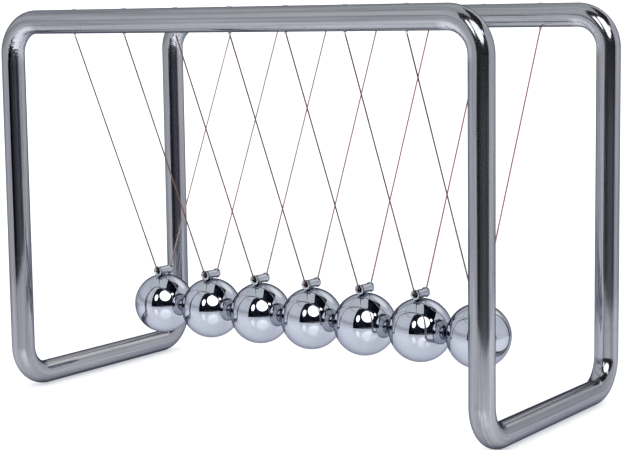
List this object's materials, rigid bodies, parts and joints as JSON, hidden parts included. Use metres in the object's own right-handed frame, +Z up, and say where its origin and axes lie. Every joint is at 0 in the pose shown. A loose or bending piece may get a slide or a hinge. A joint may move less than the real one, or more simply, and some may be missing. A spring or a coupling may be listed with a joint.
{
  "type": "newtons cradle",
  "caption": "Desk-top swinging ball cradle: a row of steel balls on V-shaped nylon lines, hung in an open frame of bent chrome tube.",
  "frame": {"origin": "on the surface the frame stands on, at the middle of the frame's footprint", "axes": "+X along the row of balls and the top rails, +Y from the front rail to the rear rail, +Z up"},
  "size_m": [0.1974, 0.0994, 0.1372],
  "materials": {
    "frame_tube": "polished chrome plate",
    "spigot_steel": "plain turned steel",
    "ball_steel": "mirror polish",
    "hanger_metal": "bright plate",
    "anchor_metal": "bright plate",
    "nylon_line": "drawn nylon",
    "nylon_knot": "pale nylon"
  },
  "bodies": {
    "frame": {"front_hoop": "frame_tube", "rear_hoop": "frame_tube", "left_spigot": "spigot_steel", "right_spigot": "spigot_steel", "front_anchor_1": "anchor_metal", "front_anchor_2": "anchor_metal", "front_anchor_3": "anchor_metal", "front_anchor_4": "anchor_metal", "front_anchor_5": "anchor_metal", "front_anchor_6": "anchor_metal", "front_anchor_7": "anchor_metal", "rear_anchor_1": "anchor_metal", "rear_anchor_2": "anchor_metal", "rear_anchor_3": "anchor_metal", "rear_anchor_4": "anchor_metal", "rear_anchor_5": "anchor_metal", "rear_anchor_6": "anchor_metal", "rear_anchor_7": "anchor_metal"},
    "knots_1": {"front_knot_1": "nylon_knot", "rear_knot_1": "nylon_knot"},
    "pendulum_1": {"line_1": "nylon_line", "hanger_1": "hanger_metal", "ball_1": "ball_steel"},
    "pendulum_2": {"front_knot_2": "nylon_knot", "rear_knot_2": "nylon_knot", "line_2": "nylon_line", "hanger_2": "hanger_metal", "ball_2": "ball_steel"},
    "pendulum_3": {"front_knot_3": "nylon_knot", "rear_knot_3": "nylon_knot", "line_3": "nylon_line", "hanger_3": "hanger_metal", "ball_3": "ball_steel"},
    "pendulum_4": {"front_knot_4": "nylon_knot", "rear_knot_4": "nylon_knot", "line_4": "nylon_line", "hanger_4": "hanger_metal", "ball_4": "ball_steel"},
    "pendulum_5": {"front_knot_5": "nylon_knot", "rear_knot_5": "nylon_knot", "line_5": "nylon_line", "hanger_5": "hanger_metal", "ball_5": "ball_steel"},
    "pendulum_6": {"front_knot_6": "nylon_knot", "rear_knot_6": "nylon_knot", "line_6": "nylon_line", "hanger_6": "hanger_metal", "ball_6": "ball_steel"},
    "knots_7": {"front_knot_7": "nylon_knot", "rear_knot_7": "nylon_knot"},
    "pendulum_7": {"line_7": "nylon_line", "hanger_7": "hanger_metal", "ball_7": "ball_steel"}
  },
  "joints": [
    {"name": "row_swing", "type": "hinge", "parent": "frame", "child": "pendulum_4", "pos_m": [0.002, 0, 0.1284], "axis": [0, -1, 0], "range_deg": [-30, 30]},
    {"name": "swing_1", "type": "hinge", "parent": "frame", "child": "knots_1", "pos_m": [-0.0649, 0, 0.1284], "axis": [0, -1, 0], "range_deg": [-30, 30]},
    {"name": "swing_2", "type": "hinge", "parent": "frame", "child": "pendulum_2", "pos_m": [-0.0426, 0, 0.1284], "axis": [0, -1, 0], "range_deg": [-30, 30]},
    {"name": "swing_3", "type": "hinge", "parent": "frame", "child": "pendulum_3", "pos_m": [-0.0203, 0, 0.1284], "axis": [0, -1, 0], "range_deg": [-30, 30]},
    {"name": "swing_5", "type": "hinge", "parent": "frame", "child": "pendulum_5", "pos_m": [0.0243, 0, 0.1284], "axis": [0, -1, 0], "range_deg": [-30, 30]},
    {"name": "swing_6", "type": "hinge", "parent": "frame", "child": "pendulum_6", "pos_m": [0.0466, 0, 0.1284], "axis": [0, -1, 0], "range_deg": [-30, 30]},
    {"name": "swing_7", "type": "hinge", "parent": "frame", "child": "knots_7", "pos_m": [0.0689, 0, 0.1284], "axis": [0, -1, 0], "range_deg": [-30, 30]},
    {"name": "ball_1_lift", "type": "hinge", "parent": "knots_1", "child": "pendulum_1", "pos_m": [-0.0649, 0, 0.1284], "axis": [0, 1, 0], "range_deg": [0, 45]},
    {"name": "ball_7_lift", "type": "hinge", "parent": "knots_7", "child": "pendulum_7", "pos_m": [0.0689, 0, 0.1284], "axis": [0, -1, 0], "range_deg": [0, 45]}
  ],
  "couplings": [
    {"joint": "swing_1", "follows": "row_swing", "ratio": 1},
    {"joint": "swing_2", "follows": "row_swing", "ratio": 1},
    {"joint": "swing_3", "follows": "row_swing", "ratio": 1},
    {"joint": "swing_5", "follows": "row_swing", "ratio": 1},
    {"joint": "swing_6", "follows": "row_swing", "ratio": 1},
    {"joint": "swing_7", "follows": "row_swing", "ratio": 1}
  ]
}
